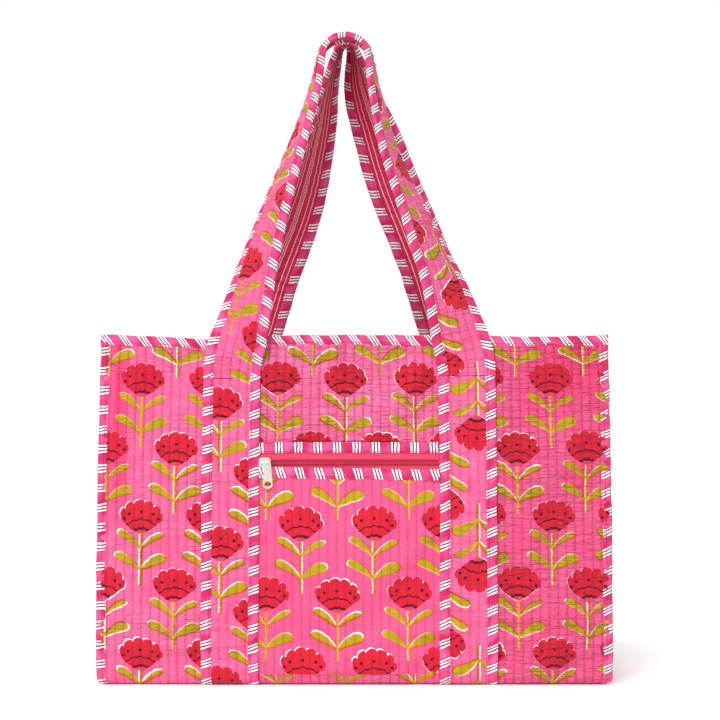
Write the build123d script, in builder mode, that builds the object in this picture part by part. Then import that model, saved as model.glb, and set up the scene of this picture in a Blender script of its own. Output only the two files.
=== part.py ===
"""A quilted cotton knitting bag: an open-topped box of five quilted panels with bound edges, a
zipped front pocket, and two long quilted straps whose upper loops are the carrying handles.

Millimetres, +Z up. The origin is the middle of the base on the surface the bag stands on, the
front faces -Y, and left and right are as seen from the front.
"""

from build123d import *
import math
import os

# Overall bag
bag_width = 450.0
bag_depth = 150.0
bag_height = 305.0

# Quilt, from the outside in: printed cloth, wadding, lining
cloth = 0.5
wadding = 3.0
quilt = wadding + 2 * cloth

# Bias binding over the raw edges
binding_width = 9.0
binding_cloth = 0.8
seam_allowance = binding_width - binding_cloth

# Straps: two legs sewn to each large panel, and a free loop above the stitch line
strap_width = 50.0
strap_wadding = 2.0
strap_cloth = 0.4
strap_binding_cloth = 0.5
strap_thickness = 4.4
layer_gap = 0.15
left_leg_x = -108.5
right_leg_x = 99.5
leg_bottom = 1.0
stitch_line = 270.0
handle_gap = 0.3

# Handle loops
apex_x = -8.0
apex_z = 567.0
front_arch_radius = 20.0
back_arch_radius = 13.0
lean_radius = 90.0
apex_offset = 27.5
rim_bulge = 2.4
twist_start = 298.0

# Pocket and zip
pocket_left = -83.4
pocket_right = 74.4
pocket_bottom = 10.5
pocket_top = 189.5
pocket_wadding = 2.0
pocket_seam = 3.0
zip_height = 194.0
tape_width = 15.5
tape_thickness = 0.5
tape_standoff = 1.4
coil_width = 2.45
coil_height = 1.5
coil_gap = 0.35
facing_bottom = 202.5
facing_height = 9.0
facing_thickness = 1.2
slider_x = -77.9
slider_length = 10.5

half_width = bag_width / 2
half_depth = bag_depth / 2
front_face_y = -half_depth
inner_y = half_depth - quilt
gusset_outer = half_width - binding_width
gusset_inner = gusset_outer - quilt
panel_top = bag_height - binding_cloth
corner_binding_top = bag_height - binding_width

layers = {
    "lining": (0.0, cloth),
    "wadding": (cloth, cloth + wadding),
    "face": (cloth + wadding, quilt),
}

os.makedirs("parts", exist_ok=True)


def save(part, label):
    """Writes one finished piece as parts/label.step."""
    part.label = label
    export_step(part, f"parts/{label}.step")


def block(x_range, y_range, z_range, mode=Mode.ADD):
    """A box between two corners, added to the part being built."""
    (x0, x1), (y0, y1), (z0, z1) = (sorted(r) for r in (x_range, y_range, z_range))
    with Locations(((x0 + x1) / 2, (y0 + y1) / 2, (z0 + z1) / 2)):
        Box(x1 - x0, y1 - y0, z1 - z0, mode=mode)


# ---------------------------------------------------------------- quilted panels


def large_panel(name, side):
    """The front (side -1) or back (side 1) panel, out to its side seam allowances."""
    for layer, (near, far) in layers.items():
        with BuildPart() as panel:
            block(
                (-half_width + binding_cloth, half_width - binding_cloth),
                (side * (inner_y + near), side * (inner_y + far)),
                (0, panel_top),
            )
        save(panel.part, f"{name}_{layer}")


def gusset(name, side):
    """A side panel with its seam allowances turned outwards along the other three edges."""
    for layer, (near, far) in layers.items():
        reach = inner_y - near
        flange_end = side * (half_width - binding_cloth)
        with BuildPart() as panel:
            block(
                (side * (gusset_inner + near), side * (gusset_inner + far)),
                (-reach, reach),
                (quilt + near, panel_top),
            )
            block(
                (side * (gusset_inner + near), flange_end),
                (-reach, reach),
                (quilt + near, quilt + far),
            )
            for edge in (-1, 1):
                block(
                    (side * (gusset_inner + near), flange_end),
                    (edge * reach, edge * (inner_y - far)),
                    (quilt + near, corner_binding_top - binding_cloth),
                )
        save(panel.part, f"{name}_{layer}")


def base():
    """The bottom panel, its side seam allowances pressed up to leave room for their binding."""
    fold = gusset_outer - cloth
    edge = half_width - binding_cloth
    pressed = binding_cloth + cloth
    with BuildPart() as face:
        block((-gusset_outer, gusset_outer), (-inner_y, inner_y), (0, cloth))
        for side in (-1, 1):
            block((side * fold, side * gusset_outer), (-inner_y, inner_y), (0, pressed))
            block((side * fold, side * edge), (-inner_y, inner_y), (binding_cloth, pressed))
    save(face.part, "base_face")
    with BuildPart() as middle:
        block((-fold, fold), (-inner_y, inner_y), (cloth, quilt - cloth))
        block((-edge, edge), (-inner_y, inner_y), (pressed, quilt - cloth))
    save(middle.part, "base_wadding")
    with BuildPart() as inside:
        block((-edge, edge), (-inner_y, inner_y), (quilt - cloth, quilt))
    save(inside.part, "base_lining")


# ---------------------------------------------------------------- bindings


def corner_binding(name, x_side, y_side):
    """A folded strip around a large panel's side edge and the gusset's turned allowance."""
    seam_y = inner_y - quilt
    outer = (y_side * (half_depth + binding_cloth), y_side * (seam_y - binding_cloth))
    inner = (y_side * half_depth, y_side * seam_y)
    edge = x_side * half_width
    with BuildPart() as strip:
        block((x_side * gusset_outer, edge), outer, (0, corner_binding_top))
        block(
            (x_side * gusset_outer, edge - x_side * binding_cloth),
            inner,
            (0, corner_binding_top),
            mode=Mode.SUBTRACT,
        )
        block(
            (x_side * gusset_outer, edge),
            (y_side * seam_y, y_side * (seam_y - binding_cloth)),
            (0, 2 * quilt + binding_cloth),
            mode=Mode.SUBTRACT,
        )
    save(strip.part, name)


def base_binding(name, side):
    """A folded strip around the seam between the base and one gusset."""
    seam_y = inner_y - quilt
    edge = side * half_width
    with BuildPart() as strip:
        block((side * gusset_outer, edge), (-seam_y, seam_y), (0, 2 * quilt + binding_cloth))
        block(
            (side * gusset_outer, edge - side * binding_cloth),
            (-seam_y, seam_y),
            (binding_cloth, 2 * quilt),
            mode=Mode.SUBTRACT,
        )
    save(strip.part, name)


def rim_binding():
    """One folded strip around the whole mouth, over the top edges of the four walls."""
    lip = binding_cloth
    top = (corner_binding_top, bag_height)
    channel = (corner_binding_top, panel_top)
    with BuildPart() as strip:
        for side in (-1, 1):
            block(
                (-half_width, half_width),
                (side * (inner_y - lip), side * (half_depth + lip)),
                top,
            )
            block(
                (side * (gusset_inner - lip), side * (gusset_outer + lip)),
                (-inner_y, inner_y),
                top,
            )
        for side in (-1, 1):
            block(
                (-half_width + lip, half_width - lip),
                (side * inner_y, side * half_depth),
                channel,
                mode=Mode.SUBTRACT,
            )
            block(
                (side * gusset_inner, side * gusset_outer),
                (-inner_y, inner_y),
                channel,
                mode=Mode.SUBTRACT,
            )
    save(strip.part, "rim_binding")


# ---------------------------------------------------------------- strap section

half_strap = strap_width / 2
core_half_width = half_strap - strap_binding_cloth - layer_gap
strap_layers = {
    "lining": (-strap_wadding / 2 - layer_gap - strap_cloth, -strap_wadding / 2 - layer_gap),
    "wadding": (-strap_wadding / 2, strap_wadding / 2),
    "face": (strap_wadding / 2 + layer_gap, strap_wadding / 2 + layer_gap + strap_cloth),
}


def layer_outline(layer, outward):
    """One layer's section: across the strap along x, its thickness along y."""
    low, high = strap_layers[layer]
    with Locations((0, outward * (low + high) / 2)):
        Rectangle(2 * core_half_width, high - low)


def binding_outline(edge):
    """The folded binding's section around the strap's edge at +x or -x."""
    half_thickness = strap_thickness / 2
    inner_half = half_thickness - strap_binding_cloth
    start = edge * (half_strap - binding_width)
    tip = edge * half_strap
    fold = edge * (half_strap - strap_binding_cloth)
    Polygon(
        (start, -half_thickness),
        (tip, -half_thickness),
        (tip, half_thickness),
        (start, half_thickness),
        (start, inner_half),
        (fold, inner_half),
        (fold, -inner_half),
        (start, -inner_half),
        align=None,
    )


# ---------------------------------------------------------------- strap legs


def strap_legs(name, side):
    """The two sewn-down legs of one strap, on the front (side -1) or the back (side 1)."""
    y = side * (half_depth + strap_thickness / 2)
    length = stitch_line - leg_bottom
    for layer in strap_layers:
        with BuildPart() as legs:
            for x in (left_leg_x, right_leg_x):
                with BuildSketch(Plane((x, y, leg_bottom))):
                    layer_outline(layer, side)
            extrude(amount=length)
        save(legs.part, f"{name}_{layer}")
    with BuildPart() as legs:
        for x in (left_leg_x, right_leg_x):
            for edge in (-1, 1):
                with BuildSketch(Plane((x, y, leg_bottom))):
                    binding_outline(edge)
        extrude(amount=length)
    save(legs.part, f"{name}_bindings")


# ---------------------------------------------------------------- handle loops


def half_loop(leg_x, arch_radius, sense):
    """Points (x, z) up one half of a loop: a bend into the lean, a straight run, and half the arch.

    sense is 1 for the left leg, which leans towards +x, and -1 for the right leg.
    """
    start = stitch_line + handle_gap
    across = sense * (apex_x - leg_x) - lean_radius
    up = apex_z - arch_radius - start
    run = math.sqrt(across**2 + up**2 - (lean_radius - arch_radius) ** 2)
    heading = math.atan2(up, across) - math.atan2(lean_radius - arch_radius, run)
    lean = math.pi / 2 - heading

    points = []
    bend_steps, run_steps, arch_steps = 4, 12, 7
    for i in range(bend_steps):
        a = lean * i / bend_steps
        points.append((lean_radius * (1 - math.cos(a)), lean_radius * math.sin(a)))
    x0, z0 = lean_radius * (1 - math.cos(lean)), lean_radius * math.sin(lean)
    for i in range(run_steps):
        d = run * i / run_steps
        points.append((x0 + d * math.cos(heading), z0 + d * math.sin(heading)))
    for i in range(arch_steps + 1):
        a = heading * (1 - i / arch_steps)
        points.append(
            (
                sense * (apex_x - leg_x) - arch_radius * math.sin(a),
                up + arch_radius * math.cos(a),
            )
        )
    return [(leg_x + sense * x, start + z) for x, z in points]


def loop_y(z, side):
    """How far forward or back the strap's middle runs at height z: out over the rim, then inwards."""
    near = half_depth + strap_thickness / 2 + handle_gap
    t = min(max((z - stitch_line) / 25, 0), 1)
    out = rim_bulge * t * t * (3 - 2 * t)
    softness = 0.03
    rise = (z - bag_height - 4) / (apex_z - bag_height - 4)
    inward = (rise + math.sqrt(rise**2 + softness**2)) / 2
    return side * (near + out - (near + rim_bulge - apex_offset) * inward)


def twist(z, side):
    """Turn of the strap's width from across the bag, at the rim, to front-to-back at the apex."""
    rise = max(z - twist_start, 0) / (apex_z - twist_start)
    if side > 0:
        return math.pi / 2 * rise**3.5
    early, power = 0.01, 0.42
    share = ((rise + early) ** power - early**power) / ((1 + early) ** power - early**power)
    return math.pi / 2 * share


def loop_planes(side, arch_radius):
    """Section planes along a whole loop, x towards the strap's inner edge and z along the strap."""
    left = half_loop(left_leg_x, arch_radius, 1)
    right = half_loop(right_leg_x, arch_radius, -1)
    middle = [Vector(x, loop_y(z, side), z) for x, z in left + right[-2::-1]]
    planes = []
    for i, point in enumerate(middle):
        ahead = middle[min(i + 1, len(middle) - 1)]
        behind = middle[max(i - 1, 0)]
        along = (ahead - behind).normalized()
        if i in (0, len(middle) - 1):
            along = Vector(0, 0, 1 if i == 0 else -1)
        turn = twist(point.Z, side)
        turn = turn if i < len(left) else math.pi - turn
        inner = Vector(math.cos(turn), side * math.sin(turn), 0)
        inner = (inner - along * inner.dot(along)).normalized()
        planes.append(Plane(origin=point, x_dir=inner, z_dir=along))
    return planes


def handle(name, side, arch_radius):
    """One free loop above the stitch line, in three layers with a binding on each edge."""
    planes = loop_planes(side, arch_radius)
    for layer in strap_layers:
        with BuildPart() as loop:
            for plane in planes:
                with BuildSketch(plane):
                    layer_outline(layer, side)
            loft()
        save(loop.part, f"{name}_{layer}")
    for edge_name, edge in (("inner", 1), ("outer", -1)):
        with BuildPart() as loop:
            for plane in planes:
                with BuildSketch(plane):
                    binding_outline(edge)
            loft()
        save(loop.part, f"{name}_{edge_name}_binding")


# ---------------------------------------------------------------- pocket

pocket_back_y = front_face_y - tape_standoff - tape_thickness
pocket_front_y = pocket_back_y - pocket_wadding - 2 * cloth


def pocket():
    """The quilted pocket front, sewn down on three sides, and the binding on its top edge."""
    depths = (0, cloth, cloth + pocket_wadding, 2 * cloth + pocket_wadding)
    top = pocket_top - binding_cloth
    seam_top = zip_height - coil_gap - tape_width
    for i, layer in enumerate(("lining", "wadding", "face")):
        with BuildPart() as panel:
            block(
                (pocket_left, pocket_right),
                (pocket_back_y - depths[i], pocket_back_y - depths[i + 1]),
                (pocket_bottom, top),
            )
            if layer == "lining":
                allowance = (front_face_y, pocket_back_y)
                block(
                    (pocket_left, pocket_right),
                    allowance,
                    (pocket_bottom, pocket_bottom + pocket_seam),
                )
                for edge, inwards in ((pocket_left, 1), (pocket_right, -1)):
                    block(
                        (edge, edge + inwards * pocket_seam),
                        allowance,
                        (pocket_bottom, seam_top),
                    )
        save(panel.part, f"pocket_{layer}")
    with BuildPart() as strip:
        block(
            (pocket_left, pocket_right),
            (pocket_back_y, pocket_front_y - binding_cloth),
            (pocket_top - binding_width, pocket_top),
        )
        block(
            (pocket_left, pocket_right),
            (pocket_back_y, pocket_front_y),
            (pocket_top - binding_width, top),
            mode=Mode.SUBTRACT,
        )
    save(strip.part, "pocket_top_binding")


# ---------------------------------------------------------------- zip

tape_back_y = front_face_y - tape_standoff
tape_front_y = tape_back_y - tape_thickness
clearance = 0.3


def zip_chain():
    """Two woven tapes, each with its row of coil along the edge where they meet."""
    for name, up in (("upper", 1), ("lower", -1)):
        edge = zip_height + up * coil_gap
        with BuildPart() as tape:
            block(
                (pocket_left, pocket_right),
                (tape_back_y, tape_front_y),
                (edge, edge + up * tape_width),
            )
        save(tape.part, f"zip_{name}_tape")
        with BuildPart() as coil:
            block(
                (pocket_left, pocket_right),
                (tape_front_y, tape_front_y - coil_height),
                (edge, edge + up * coil_width),
            )
            ridge = coil.edges().filter_by(Axis.X).group_by(Axis.Y)[0]
            fillet(ridge, radius=0.7)
        save(coil.part, f"zip_{name}_coil")


def zip_facing():
    """The bound strip that covers the zip's upper tape, on a tape-thick backing step."""
    with BuildPart() as strip:
        block(
            (pocket_left, pocket_right),
            (tape_front_y, tape_front_y - facing_thickness),
            (facing_bottom, facing_bottom + facing_height),
        )
        block(
            (pocket_left, pocket_right),
            (front_face_y, tape_front_y),
            (zip_height + coil_gap + tape_width, facing_bottom + facing_height),
        )
    save(strip.part, "zip_facing")


top_plate_y = tape_front_y - coil_height - clearance
plate = 0.8
plate_half_height = 4.2
rail_inner = coil_gap + coil_width + clearance
pull_back_y = pocket_front_y - binding_cloth - clearance
pull_thickness = 1.0
pull_length = 23.0
bridge_span = 5.2
bridge_wire = 1.3
bridge_leg = 1.0
bridge_x = slider_x + bridge_span / 2
bridge_y = pull_back_y - pull_thickness - clearance - bridge_wire / 2


def slider():
    """Two plates either side of the coil, joined by a thin wedge, with rails and a wire bridge."""
    nose = slider_x - slider_length / 2
    tail = slider_x + slider_length / 2
    with BuildPart() as body:
        block(
            (nose, tail),
            (top_plate_y, top_plate_y - plate),
            (zip_height - plate_half_height, zip_height + plate_half_height),
        )
        fillet(body.edges().filter_by(Axis.Y), radius=2.2)
        block(
            (nose, tail),
            (tape_back_y + clearance, tape_back_y + clearance + plate),
            (zip_height - plate_half_height + 0.4, zip_height + plate_half_height - 0.4),
        )
        block(
            (nose, nose + 3),
            (tape_back_y + clearance, top_plate_y),
            (zip_height - 0.25, zip_height + 0.25),
        )
        for up in (-1, 1):
            block(
                (nose + 2.2, tail - 2.2),
                (tape_front_y - clearance, top_plate_y),
                (zip_height + up * rail_inner, zip_height + up * plate_half_height),
            )
        for x in (slider_x - bridge_span / 2, bridge_x):
            foot = Plane((x, top_plate_y - plate / 2, zip_height), z_dir=(0, -1, 0))
            with Locations(foot):
                Cylinder(
                    bridge_leg / 2,
                    top_plate_y - plate / 2 - bridge_y,
                    align=(Align.CENTER, Align.CENTER, Align.MIN),
                )
        with Locations((slider_x, bridge_y, zip_height)):
            Cylinder(bridge_wire / 2, bridge_span + 2 * bridge_wire, rotation=(0, 90, 0))
    save(body.part, "zip_slider")


def pull():
    """The hanging tab: an eye round the bridge's leg, a plate that widens, and an oval hole."""
    eye_radius, eye_hole = 2.6, 1.2
    end_radius = 4.4
    waist = (3.2, -3.5)
    end_z = end_radius - pull_length
    hanging = Plane((bridge_x, pull_back_y, zip_height), x_dir=(1, 0, 0), z_dir=(0, -1, 0))
    with BuildPart() as tab:
        with BuildSketch(hanging):
            with BuildLine():
                ThreePointArc((eye_radius, 0), (0, eye_radius), (-eye_radius, 0))
                Line((-eye_radius, 0), (-waist[0], waist[1]))
                Line((-waist[0], waist[1]), (-end_radius, end_z))
                ThreePointArc((-end_radius, end_z), (0, end_z - end_radius), (end_radius, end_z))
                Line((end_radius, end_z), waist)
                Line(waist, (eye_radius, 0))
            make_face()
            Circle(eye_hole, mode=Mode.SUBTRACT)
            with Locations((0, end_z)):
                Ellipse(2.8, 2.3, mode=Mode.SUBTRACT)
        extrude(amount=pull_thickness)
    save(tab.part, "zip_pull")


large_panel("front_panel", -1)
large_panel("back_panel", 1)
gusset("left_gusset", -1)
gusset("right_gusset", 1)
base()
corner_binding("front_left_binding", -1, -1)
corner_binding("front_right_binding", 1, -1)
corner_binding("back_left_binding", -1, 1)
corner_binding("back_right_binding", 1, 1)
base_binding("base_left_binding", -1)
base_binding("base_right_binding", 1)
rim_binding()
strap_legs("front_strap_legs", -1)
strap_legs("back_strap_legs", 1)
handle("front_handle", -1, front_arch_radius)
handle("back_handle", 1, back_arch_radius)
pocket()
zip_chain()
zip_facing()
slider()
pull()
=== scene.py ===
import bmesh
import bpy
import math
import numpy as np
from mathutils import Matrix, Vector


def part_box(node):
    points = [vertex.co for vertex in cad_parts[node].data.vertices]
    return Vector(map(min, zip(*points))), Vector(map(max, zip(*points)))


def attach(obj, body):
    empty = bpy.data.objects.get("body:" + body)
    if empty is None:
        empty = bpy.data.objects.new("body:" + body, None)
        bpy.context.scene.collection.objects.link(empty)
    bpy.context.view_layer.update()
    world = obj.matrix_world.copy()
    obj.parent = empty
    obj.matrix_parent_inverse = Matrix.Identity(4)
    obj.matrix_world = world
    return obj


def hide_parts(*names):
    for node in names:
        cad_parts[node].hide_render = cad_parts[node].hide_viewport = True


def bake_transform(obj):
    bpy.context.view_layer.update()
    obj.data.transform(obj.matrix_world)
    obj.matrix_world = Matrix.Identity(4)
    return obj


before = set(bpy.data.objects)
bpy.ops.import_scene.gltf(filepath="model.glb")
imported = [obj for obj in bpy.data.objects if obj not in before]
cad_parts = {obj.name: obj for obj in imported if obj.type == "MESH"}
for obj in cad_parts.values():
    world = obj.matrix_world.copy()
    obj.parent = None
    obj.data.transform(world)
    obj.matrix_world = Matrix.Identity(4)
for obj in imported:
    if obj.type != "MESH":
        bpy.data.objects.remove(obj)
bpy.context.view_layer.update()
mm = 0.001


def cadBoxOf(node):
    low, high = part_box(node)
    return np.array(low) / mm, np.array(high) / mm


rimHigh = cadBoxOf("rim_binding")[1]
legsLow, legsHigh = cadBoxOf("front_strap_legs_bindings")
pocketLow, pocketHigh = cadBoxOf("pocket_face")
facingLow, facingHigh = cadBoxOf("zip_facing")
upperTapeLow, upperTapeHigh = cadBoxOf("zip_upper_tape")
lowerTapeLow, lowerTapeHigh = cadBoxOf("zip_lower_tape")
quiltThick, strapWide = 4.0, 50.0

size = {
    "halfWidth": rimHigh[0],
    "halfDepth": cadBoxOf("back_panel_face")[1][1],
    "height": rimHigh[2],
    "quilt": quiltThick,
    "gusset": cadBoxOf("right_gusset_lining")[0][0] + quiltThick,
    "binding": 9.0,
    "strap": strapWide,
    "legs": (legsLow[0] + strapWide / 2, legsHigh[0] - strapWide / 2),
    "stitchLine": legsHigh[2],
}
print("frame read", {k: np.round(v, 1).tolist() for k, v in size.items()})


# ---- small helpers ----

def smooth(value, low, high):
    t = np.clip((value - low) / (high - low), 0, 1)
    return t * t * (3 - 2 * t)


def waves(u, v, seed, alongU, alongV, count=48):
    # sum of cosines with random directions: wavelengths near alongU across and alongV up
    dice = np.random.default_rng(seed)
    ku = dice.normal(0, 2 * math.pi / alongU, count)
    kv = dice.normal(0, 0.35, count) * 2 * math.pi / alongV
    kv += np.sign(kv) * 2 * math.pi / alongV * 0.75
    phase = dice.uniform(0, 2 * math.pi, count)
    total = np.zeros(np.broadcast(u, v).shape)
    for a, b, c in zip(ku, kv, phase):
        total += np.cos(a * u + b * v + c)
    return total / math.sqrt(count / 2)


def cells(index):
    # the four corner numbers of every cell of a grid of points
    return np.stack(
        [index[:-1, :-1], index[:-1, 1:], index[1:, 1:], index[1:, :-1]], -1
    ).reshape(-1, 4)


def facingOut(points, faces, uv):
    # turns the faces round if the closed shell's signed volume is negative
    a, b, c, d = (points[faces[:, i]] for i in range(4))
    volume = np.einsum("ij,ij->i", a, np.cross(b, c) + np.cross(c, d)).sum()
    if volume < 0:
        faces, uv = faces[:, ::-1], uv[:, ::-1]
    return {"points": points, "faces": faces, "uv": uv}


def closedSheet(front, back, uv, lively=None, tone=None):
    # two grids of the same shape, joined round their edge; lively and tone are kept for the finish, tone
    # being painted shade and light that deepens or pales the pink
    rows, cols = front.shape[:2]
    index = np.arange(rows * cols).reshape(rows, cols)
    edge = np.concatenate(
        [index[0, :-1], index[:-1, -1], index[-1, :0:-1], index[:0:-1, 0]]
    )
    after = np.roll(edge, -1)
    wall = np.stack([after, edge, edge + rows * cols, after + rows * cols], -1)
    faces = np.concatenate([cells(index), cells(index + rows * cols)[:, ::-1], wall])
    points = np.concatenate([front.reshape(-1, 3), back.reshape(-1, 3)])
    flat = uv.reshape(-1, 2)
    part = facingOut(points, faces, np.concatenate([flat, flat])[faces])
    for key, value in (("lively", lively), ("tone", tone)):
        if value is not None:
            once = np.broadcast_to(value, front.shape[:2]).ravel()
            part[key] = np.concatenate([once, once])
    return part


def tube(rings, along, around, slant=0.0):
    # a closed profile carried along a path; each end closes on its middle point; slant leans a pattern
    n, m = rings.shape[:2]
    index = np.arange(n * m).reshape(n, m)
    wrapped = np.concatenate([index, index[:, :1]], 1)
    leaning = along[:, None] + slant * around[None, :]
    uv = np.stack(np.broadcast_arrays(leaning, around[None, :]), -1)
    uvIndex = np.arange(n * (m + 1)).reshape(n, m + 1)
    faces, faceUv = cells(wrapped), uv.reshape(-1, 2)[cells(uvIndex)]
    points = [rings.reshape(-1, 3)]
    for end, middle in ((0, n * m), (-1, n * m + 1)):
        ring = wrapped[end] if end == -1 else wrapped[0][::-1]
        points.append(rings[end].mean(0)[None])
        lid = np.stack(
            [ring[:-1], ring[1:], np.full(m, middle), np.full(m, middle)], -1
        )
        faces = np.concatenate([faces, lid])
        place = np.array([along[end], 0.0])
        faceUv = np.concatenate([faceUv, np.broadcast_to(place, (m, 4, 2))])
    return facingOut(np.concatenate(points), faces, faceUv)


def newPiece(name, parts, material, sharpAngle=70):
    # joins closed shells into one mesh in metres, with their uv in millimetres
    points, faces, uvs, count = [], [], [], 0
    for part in parts:
        points.append(part["points"])
        faces.append(part["faces"] + count)
        uvs.append(part["uv"])
        count += len(part["points"])
    points, faces = np.concatenate(points) * mm, np.concatenate(faces)
    uvs = np.concatenate(uvs)
    polygons, corners = [], []
    for face, corner in zip(faces.tolist(), uvs):
        keep = [i for i in range(4) if face[i] != face[i - 1]]
        polygons.append([face[i] for i in keep])
        corners.append(corner[keep])
    mesh = bpy.data.meshes.new(name)
    mesh.from_pydata(points.tolist(), [], polygons)
    layer = mesh.uv_layers.new(name="cloth")
    layer.data.foreach_set("uv", np.concatenate(corners).astype(np.float32).ravel())
    for key, usual in (("lively", 0.5), ("tone", 0.3)):
        if any(key in part for part in parts):
            values = [part.get(key, np.full(len(part["points"]), usual)) for part in parts]
            attribute = mesh.attributes.new(key, "FLOAT", "POINT")
            attribute.data.foreach_set("value", np.concatenate(values).astype(np.float32))
    mesh.polygons.foreach_set("use_smooth", np.ones(len(polygons), bool))
    mesh.set_sharp_from_angle(angle=math.radians(sharpAngle))
    mesh.materials.append(material)
    piece = bpy.data.objects.new(name, mesh)
    bpy.context.scene.collection.objects.link(piece)
    return piece


def belongs(piece, body, slotName, *nodes):
    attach(piece, body)
    if nodes:
        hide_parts(*nodes)
    return piece


# ---- how the whole bag has settled ----

slump = {
    # bumps on the front: x, z, width, height, outwards amount
    "front": [
        (-150, 120, 90, 110, 3.0), (150, 110, 80, 120, 4.0), (0, 90, 90, 90, 2.5),
        (-214, 262, 14, 40, -3.5), (-196, 250, 10, 60, 1.6), (0, 290, 70, 40, -2.5),
        (165, 285, 45, 30, -2.0), (205, 200, 12, 60, -1.4), (-150, 295, 30, 35, -2.5),
        (55, 30, 70, 26, 1.8), (-165, 20, 45, 22, 2.0), (175, 26, 40, 26, 2.0),
    ],
    "back": [
        (-120, 110, 110, 110, 4.0), (130, 130, 90, 100, 3.0), (10, 280, 90, 50, -3.0),
        (-190, 250, 30, 60, -2.0), (185, 60, 40, 60, 2.0),
    ],
    "side": [(0, 110, 60, 110, 3.0), (0, 300, 26, 95, -9.0), (45, 250, 20, 60, 2.0), (-45, 250, 20, 60, 2.0)],
    # how far the mouth's edge hangs: x, width, amount
    "rimFront": [(-150, 45, 2.2), (-112, 30, 3.6), (160, 50, 1.6), (0, 60, -0.6)],
    "rimBack": [(-120, 70, 6.5), (120, 60, 3.0)],
    "lean": 4.5,
    "baseRadius": 10.0,
}


cloth = {
    "step": 12.0,            # between the simulated points
    "slack": 0.014,          # how much the cloth is cut over size, as a share
    "frames": 26,
    "limit": 5.0,            # no point moves further than this
    "lean": 1.5,             # a start outwards, so that the walls belly out
    "hold": {"strap": 0.5, "rim": 0.35},
}


def hangWalls():
    # each wall is a flat sheet held at its sides and foot, let go under its own weight;
    # gives the moves on a grid, none longer than the limit
    c = cloth
    walls, points, faces, pins, count = [], [], [], [], 0
    wide = {"front": size["halfWidth"], "back": size["halfWidth"], "left": 70.0, "right": 70.0}
    for number, (label, reach) in enumerate(wide.items()):
        a = np.linspace(-reach, reach, int(2 * reach / c["step"]) + 1)
        z = np.linspace(0, size["height"], int(size["height"] / c["step"]) + 1)
        aa, zz = np.meshgrid(a, z)
        rise = np.clip(zz / size["height"], 0, 1)
        n = c["lean"] * np.cos(math.pi / 2 * aa / reach) * np.sin(math.pi * rise * 0.8)
        points.append(np.stack([aa, -n - 400.0 * number, zz], -1).reshape(-1, 3) * mm)
        faces.append(cells(np.arange(aa.size).reshape(aa.shape)) + count)
        pin = np.where((np.abs(aa) > reach - 1) | (zz < 1), 1.0, 0.0)
        if label in ("front", "back"):
            mirror = 1 if label == "front" else -1
            for leg in size["legs"]:
                pin = np.maximum(pin, np.where(np.abs(aa - mirror * leg) < 26, c["hold"]["strap"], 0))
        pin = np.maximum(pin, np.where(zz > size["height"] - 13, c["hold"]["rim"], 0))
        pins.append(pin.ravel())
        walls.append((label, a, z, slice(count, count + aa.size), aa.shape))
        count += aa.size
    points, pins = np.concatenate(points), np.concatenate(pins)
    mesh = bpy.data.meshes.new("wallCloth")
    mesh.from_pydata(points.tolist(), [], np.concatenate(faces).tolist())
    sheet = bpy.data.objects.new("wallCloth", mesh)
    bpy.context.scene.collection.objects.link(sheet)
    group = sheet.vertex_groups.new(name="held")
    for level in np.unique(pins[pins > 0]):
        group.add(np.flatnonzero(pins == level).tolist(), float(level), "REPLACE")
    made = sheet.modifiers.new("cloth", "CLOTH")
    made.settings.quality = 6
    made.settings.mass = 0.35
    made.settings.tension_stiffness = made.settings.compression_stiffness = 25
    made.settings.bending_stiffness = 1.2
    made.settings.vertex_group_mass = "held"
    made.settings.shrink_min = -c["slack"]
    made.point_cache.frame_start, made.point_cache.frame_end = 1, c["frames"]
    for step in range(1, c["frames"] + 1):
        bpy.context.scene.frame_set(step)
    graph = bpy.context.evaluated_depsgraph_get()
    ready = sheet.evaluated_get(graph).to_mesh()
    after = np.empty(count * 3, np.float32)
    ready.vertices.foreach_get("co", after)
    moves = (after.reshape(-1, 3) - points) / mm
    bpy.data.objects.remove(sheet)
    bpy.data.meshes.remove(mesh)
    bpy.context.scene.frame_set(1)
    far = np.linalg.norm(moves, axis=1, keepdims=True)
    moves = moves * np.minimum(1, c["limit"] / np.maximum(far, 1e-6))
    print("walls hung, furthest move", round(float(far.max()), 2))
    return {label: (a, z, moves[part].reshape(*shape, 3)) for label, a, z, part, shape in walls}


hung = hangWalls()


def hungMove(label, a, z):
    # the simulated move at places a across and z up a wall, read between the grid's points
    if label not in hung:
        return np.zeros((*a.shape, 3))
    across, up, moves = hung[label]
    i = np.clip((a - across[0]) / (across[1] - across[0]), 0, len(across) - 1.001)
    j = np.clip((z - up[0]) / (up[1] - up[0]), 0, len(up) - 1.001)
    i0, j0 = i.astype(int), j.astype(int)
    u, v = (i - i0)[..., None], (j - j0)[..., None]
    u, v = u * u * (3 - 2 * u), v * v * (3 - 2 * v)
    low = moves[j0, i0] * (1 - u) + moves[j0, i0 + 1] * u
    high = moves[j0 + 1, i0] * (1 - u) + moves[j0 + 1, i0 + 1] * u
    return low * (1 - v) + high * v


def bumps(a, z, places):
    total = np.zeros_like(a)
    for centre, height, wide, tall, amount in places:
        total += amount * np.exp(-(((a - centre) / wide) ** 2) - ((z - height) / tall) ** 2)
    return total


def dips(a, places):
    total = np.zeros_like(a)
    for centre, wide, amount in places:
        total += amount * np.exp(-(((a - centre) / wide) ** 2))
    return total


def holdZip(x, z):
    # 1 round the zip, which the runner keeps straight
    across = smooth(x, -125, -92) * (1 - smooth(x, 82, 115))
    return across * smooth(z, 150, 176) * (1 - smooth(z, 212, 235))


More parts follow.
